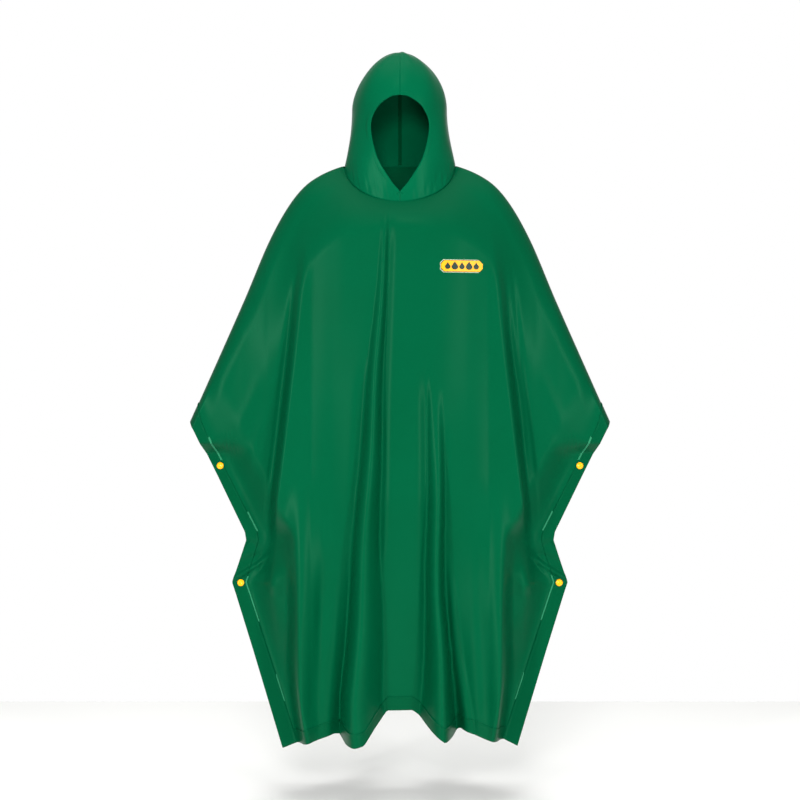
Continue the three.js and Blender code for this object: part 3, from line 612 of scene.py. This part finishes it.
def band_swell(across, along):
    """Height of a band over the cloth, from its sewn edge (0) to its free edge (1): a welded bead with small
    uneven puckers, then flat."""
    bead = 0.55 * np.exp(-((across - 0.06) / 0.05) ** 2) - 0.25 * np.exp(-((across - 0.17) / 0.06) ** 2)
    return bead * (1 + 0.5 * ripple(along, across, (1, 37, 9, 0.3), (0.7, 17, 5, 1.1)))


def hem_band(panel, name):
    stations = even_stations(panel, COLUMN_COUNT, -BAND_STATION + BAND_INSET, BAND_STATION - BAND_INSET)
    c = panel_columns(panel, stations)
    length = np.hypot(c["hem_x"] - c["x"], c["hem_z"] - c["z"])
    across = np.linspace(0, 1, BAND_ACROSS)[:, None]
    points = panel_points(panel, stations, 1 - (BAND / length) * (1 - across))
    normals = surface_normals(points, panel["sign"])
    along = np.cumsum(np.linalg.norm(np.gradient(points[0], axis=0), axis=-1))[None, :]
    points = points + normals * (BAND_LIFT + band_swell(across, along))[..., None]
    return cloth_grid(f"hem_strip_{name}", points, lambda p: Vector((0, panel["sign"], 0)), BAND_THICKNESS)


def side_band(panel, name, side):
    stations = side * np.linspace(BAND_STATION, LAST_STATION, BAND_ACROSS)
    points = panel_points(panel, stations, body_rows(ROW_COUNT))
    normals = surface_normals(points, panel["sign"] * side)
    along = np.cumsum(np.linalg.norm(np.gradient(points[:, 0], axis=0), axis=-1))[:, None]
    across = np.linspace(0, 1, BAND_ACROSS)[None, :]
    points = points + normals * (BAND_LIFT + band_swell(across, along))[..., None]
    return cloth_grid(name, points, lambda p: Vector((0, panel["sign"], 0)), BAND_THICKNESS)


def painted_weld_glint(panel, name, side, start, end):
    """A stretch of the welded seam beside a side band: a raised bead in a lighter green, a painted highlight
    where the smooth bead would catch the light.
    """
    across = np.linspace(-1, 1, WELD["across"])
    stations = side * (BAND_STATION - BAND_INSET + across * WELD["half_width"])
    points = panel_points(panel, stations, np.linspace(start, end, WELD["along"]))
    taper = np.sin(np.linspace(0, math.pi, WELD["along"]))[:, None] ** 0.5
    lift = WELD["lift"] + WELD["height"] * np.cos(across * math.pi / 2) * taper
    points = points + surface_normals(points, panel["sign"] * side) * lift[..., None]
    strip = cloth_grid(name, points, lambda p: Vector((0, panel["sign"], 0)), WELD["thickness"])
    return finish_piece(strip, weld_painted_glint_film, "band_cloth")


for name, panel in (("front", FRONT), ("back", BACK)):
    stations, rows = even_stations(panel, COLUMN_COUNT), body_rows(ROW_COUNT)
    points = panel_points(panel, stations, rows)
    body = cloth_grid(f"poncho_{name}", points, lambda p, s=panel["sign"]: Vector((0, s, 0)))
    finish_piece(body, body_cloth, "coated_cloth", f"body_{name}")
    with_pieces = [finish_piece(hem_band(panel, name), band_cloth, "band_cloth", f"hem_band_{name}")]
    for side, side_name in ((1, "left"), (-1, "right")):
        strip = side_band(panel, f"side_strip_{name}_{side_name}", side)
        with_pieces.append(finish_piece(strip, band_cloth, "band_cloth", f"side_band_{name}_{side_name}"))
        for i, (start, end) in enumerate(PAINTED_GLINT_STRETCHES, 1):
            with_pieces.append(painted_weld_glint(panel, f"weld_{name}_{side_name}_{i}", side, start, end))


# ---- hood ----
HOOD_ROWS = dict(throat=6, edge=70, crown=36)
HOOD_COLUMNS = 120
CASING_THICKNESS = 1.2
TAPE = dict(half_width=4, across=7, front_end=160, lift=1.5, thickness=0.6)  # front_end: above the face


def hood_rows():
    """Start angle of each row, and its share of the way from the neckline to the crown."""
    edge = spline(FACE_EDGE, HOOD_ROWS["edge"])
    angle = np.arcsin(np.clip(np.maximum(0, edge[:, 0]) / hood_width(edge[:, 1]), 0, 1))
    foot = neck_point(angle)[:, 2]
    share = (edge[:, 1] - foot) / (HOOD["top"] - foot)
    throat = np.linspace(0, share[0], HOOD_ROWS["throat"], endpoint=False)
    q = np.linspace(0, 1, HOOD_ROWS["crown"] + 1)[1:]
    crown = 1 - (1 - share[-1]) * (1 - q) ** 1.5
    return (np.concatenate([0 * throat, angle, 0 * crown]), np.concatenate([throat, share, crown]))


def hood_half(side):
    start, share = hood_rows()
    turn = np.linspace(0, 1, HOOD_COLUMNS)[None, :]
    angle = start[:, None] + (math.pi - start[:, None]) * turn
    foot = neck_point(angle)[..., 2]
    z = foot + (HOOD["top"] - foot) * share[:, None]
    points = hood_point(angle, z)
    points[..., 0] *= side
    return points


def hood_folds(points):
    """The soft folds of the hood, as a height along its outward normal."""
    x, y, z = points[..., 0], points[..., 1], points[..., 2]
    angle = np.arctan2(x, -y)
    foot = neck_point(angle)[..., 2]
    above = z - foot
    puckers = ripple(angle * 100, above, (0.8, 13, 90, 0.2), (0.7, 21, -70, 1.3), (0.5, 8, 60, 2.2))
    return puckers * np.exp(-np.maximum(0, above) / 16) + ripple(
        angle * 100, z, (0.9, 118, 260, 0.5), (0.6, 71, -180, 2.0))


def casing_lift(inside):
    """Height of the casing over the hood, a rolled outer edge with the stitch's groove inside it."""
    return 1.1 + 0.7 * np.exp(-((inside - 1.5) / 1.2) ** 2) - 0.6 * np.exp(-((inside - 4.2) / 1.4) ** 2)


hood_pieces = {}
for side, side_name in ((1, "left"), (-1, "right")):
    points = hood_half(side)
    normals = surface_normals(points, side)
    points = points + normals * hood_folds(points)[..., None] * np.sin(
        np.clip(np.linspace(0, 1, points.shape[0]) * 20, 0, math.pi / 2))[:, None, None]
    half = cloth_grid(f"hood_half_{side_name}", points, lambda p: p - Vector((0, 0, 0.1)))
    finish_piece(half, hood_cloth_painted_lighter, "coated_cloth", f"hood_{side_name}")
    edge = spline(FACE_EDGE, 90)
    tangent = np.gradient(edge, axis=0)
    tangent /= np.linalg.norm(tangent, axis=1, keepdims=True)
    away = np.linspace(-0.6, CASING, 9)[None, :]
    x = np.maximum(0.1, edge[:, :1] + tangent[:, 1:] * away)
    z = edge[:, 1:] - tangent[:, :1] * away
    x[-1, :], z[-1, :] = 0.1, edge[-1, 1] + away[0]
    strip = hood_front(x, z)
    strip[..., 0] *= side
    strip = strip + surface_normals(strip, -side) * casing_lift(CASING - away)[..., None]
    casing = cloth_grid(f"casing_strip_{side_name}", strip, lambda p: Vector((0, -1, 0)), CASING_THICKNESS)
    finish_piece(casing, hood_cloth_painted_lighter, "band_cloth", f"face_casing_{side_name}")
    hood_pieces[side_name] = (half, [casing])


def seam_tape():
    """The tape's middle surface, from the neck seam up the back and over the crown to the face."""
    low, high = NECK["side_height"] + NECK["back_lift"] + 4, HOOD["top"] - 1.5
    back_z = low + (high - low) * np.sin(np.linspace(0, math.pi / 2, 60))
    end = TAPE["front_end"]
    front_z = end + (high - end) * np.sin(np.linspace(math.pi / 2, 0, 30))
    line = np.concatenate([hood_point(np.full_like(back_z, math.pi), back_z),
                           hood_point(np.zeros_like(front_z), front_z)[1:]])
    across = np.linspace(-TAPE["half_width"], TAPE["half_width"], TAPE["across"])
    points = np.repeat(line[:, None, :], len(across), axis=1)
    points[..., 0] = across[None, :]
    inward = surface_normals(points, 1)
    centre = np.array([0, 0, 120.0])
    inward *= np.where(((centre - points) * inward).sum(axis=-1, keepdims=True) > 0, 1, -1)
    return points + inward * TAPE["lift"]


tape = cloth_grid("hood_tape", seam_tape(), lambda p: Vector((0, 0, 0.12)) - p, TAPE["thickness"])
finish_piece(tape, tape_cloth, "coated_cloth", "hood_seam_tape")
hood_pieces["left"][1].append(tape)


# ---- press snaps and the badge ----
SNAP_SECTION = [(0, 2.3), (2.6, 2.3), (3.4, 2.75), (5.2, 2.6), (7.0, 1.9), (7.9, 1.0), (8.0, 0.3), (7.4, 0),
                (0, 0)]  # (radius, height)
SNAP_SEAT = 0.4  # a cap's foot, out from its solid's inner face


def snap_cap(name, centre, out):
    """A domed cap with a rolled rim and a shallow dimple, turned from its half section."""
    bm = bmesh.new()
    verts = [bm.verts.new((r * MM, 0, h * MM)) for r, h in SNAP_SECTION]
    edges = [bm.edges.new(pair) for pair in zip(verts, verts[1:])]
    bmesh.ops.spin(bm, geom=verts + edges, cent=(0, 0, 0), axis=(0, 0, 1), angle=2 * math.pi, steps=40,
                   use_merge=True, use_duplicate=False)
    bmesh.ops.remove_doubles(bm, verts=bm.verts, dist=1e-6)
    bmesh.ops.recalc_face_normals(bm, faces=bm.faces)
    turn = Vector((0, 0, 1)).rotation_difference(out).to_matrix().to_4x4()
    bmesh.ops.transform(bm, matrix=Matrix.Translation(centre) @ turn, verts=bm.verts)
    return new_object(name, bm)


for face, sign in (("front", -1), ("back", 1)):
    for height in ("upper", "lower"):
        for side_name in ("left", "right"):
            node_name = f"snap_{face}_{height}_{side_name}"
            low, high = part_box(node_name)
            centre = (low + high) / 2
            centre.y = (high.y if sign < 0 else low.y) + sign * SNAP_SEAT * MM
            cap = snap_cap(f"cap_{face}_{height}_{side_name}", centre, Vector((0, sign, 0)))
            finish_piece(cap, snap_plastic, "snap_yellow", node_name)

BADGE = dict(x=138, z=-230, width=98, height=29, chamfer=7)
DROP = dict(low=2.65, height=0.7, below=1.5)  # below: how far it sits under the badge's middle


def badge_plate(name, inset, low, high):
    """A long plate with cut corners, from low to high over the chest: its face follows the cloth."""
    half, tall = BADGE["width"] / 2 - inset, BADGE["height"] / 2 - inset
    bm = bmesh.new()
    bmesh.ops.create_grid(bm, x_segments=56, y_segments=16, size=0.5)
    for vert in bm.verts:
        x = vert.co.x * 2 * half
        reach = tall - max(0.0, abs(x) - (half - BADGE["chamfer"]))
        px, pz = BADGE["x"] + x, BADGE["z"] + vert.co.y * 2 * reach
        depth = panel_depth(FRONT, np.array(px), np.array(pz))
        vert.co = Vector((px, -float(depth) - SHEET / 2 - low, pz)) * MM
    extrude_out(bm, high - low)
    plate = new_object(name, bm, smooth=False)
    bevel = plate.modifiers.new("edge", "BEVEL")
    bevel.width = 0.35 * MM
    bevel.segments = 3
    bevel.limit_method = "ANGLE"
    return plate


# border, dark line and face, each set in from the one under it and standing a little higher
finish_piece(badge_plate("badge_border", 0, 0.3, 1.6), rim_plastic, "badge_edge", "badge_rim")
finish_piece(badge_plate("badge_line", 1.1, 1.4, 1.9), print_plastic, "coated_cloth")
finish_piece(badge_plate("badge_plate", 2.4, 1.9, 2.6), badge_plastic, "badge_amber", "badge_face")


def raindrop(name, x, z, size):
    """A flat drop with a point at its top, standing on the badge's face."""
    bm = bmesh.new()
    ring = bmesh.ops.create_circle(bm, cap_ends=True, segments=32, radius=1.0)["verts"]
    for vert in ring:
        angle = math.atan2(vert.co.y, vert.co.x)
        up = max(0.0, math.sin(angle))
        vert.co.x *= 1.1 * (1 - up ** 2) ** 0.5 if up > 0 else 1.1
        vert.co.y = vert.co.y + 0.7 * up ** 3
    for vert in bm.verts:
        px, pz = x + vert.co.x * size, z + vert.co.y * size
        depth = float(panel_depth(FRONT, np.array(px), np.array(pz)))
        vert.co = Vector((px, -depth - SHEET / 2 - DROP["low"], pz)) * MM
    extrude_out(bm, DROP["height"])
    finish_piece(new_object(name, bm, smooth=False), print_plastic, "coated_cloth")


for i, (dx, size) in enumerate([(-32, 5.6), (-16, 6.8), (0, 5.6), (16, 6.8), (32, 5.6)], 1):
    raindrop(f"badge_drop_{i}", BADGE["x"] + dx, BADGE["z"] - DROP["below"], size)

# ---- floor and light, in metres ----
FLOOR_HALF_SIDE = 1.4
FLOOR_GAP = 0.12  # under the hem
FLOOR_FORWARD = -0.3
bm = bmesh.new()
bmesh.ops.create_grid(bm, x_segments=1, y_segments=1, size=FLOOR_HALF_SIDE)
floor = new_object("floor", bm, smooth=False)
floor.location = (0, FLOOR_FORWARD, cad_low.z - FLOOR_GAP)
floor_material, _, floor_skin, _ = new_material("studio_floor")
floor_skin.inputs["Base Color"].default_value = srgb("#f6f6f4")
floor_skin.inputs["Roughness"].default_value = 0.9
floor.data.materials.append(floor_material)

world = bpy.data.worlds.new("studio")
world.use_nodes = True
# a white backdrop behind the garment, and dimmer walls all round, which keep the folds' sides dark
way = node(world.node_tree, "ShaderNodeTexCoord")
behind = node(world.node_tree, "ShaderNodeVectorMath", {"operation": "DOT_PRODUCT"},
              Vector=way.outputs["Generated"])
behind.inputs[1].default_value = (0, 1, 0)
glow = node(world.node_tree, "ShaderNodeMapRange",
            {"From Min": 0.78, "From Max": 0.92, "To Min": 0.26, "To Max": 1.0},
            Value=behind.outputs["Value"])
world.node_tree.links.new(glow.outputs["Result"], world.node_tree.nodes["Background"].inputs["Strength"])
world.node_tree.nodes["Background"].inputs["Color"].default_value = (1, 1, 1, 1)
bpy.context.scene.world = world


def softbox(name, place, aim, size, power, gleams=False):
    """A studio softbox. Those in front only light the sheet; those at the sides also gleam on its folds."""
    data = bpy.data.lights.new(name, "AREA")
    data.shape = "RECTANGLE"
    data.size, data.size_y = size
    data.energy = power
    light = bpy.data.objects.new(name, data)
    light.location = place
    light.rotation_euler = (Vector(aim) - Vector(place)).to_track_quat("-Z", "Y").to_euler()
    light.visible_glossy = gleams
    bpy.context.scene.collection.objects.link(light)


softbox("key", (-0.25, -3.6, 0.35), (0, 0, -0.5), (0.9, 0.8), 84)
softbox("front_fill", (0.45, -3.6, -1.0), (0, 0, -0.8), (0.8, 0.8), 44)
softbox("strip_right", (-2.1, -2.8, -0.3), (0, 0, -0.6), (0.3, 2.0), 58, True)
softbox("strip_left", (2.1, -2.8, -0.3), (0, 0, -0.6), (0.3, 2.0), 46, True)
softbox("top_strip", (0, -2.0, 2.4), (0, 0, 0), (1.0, 0.4), 12, True)
softbox("floor_wash", (0, 0.2, 3.2), (0, 0.2, -1.4), (3.0, 3.0), 150)
bpy.context.scene.view_settings.view_transform = "Standard"
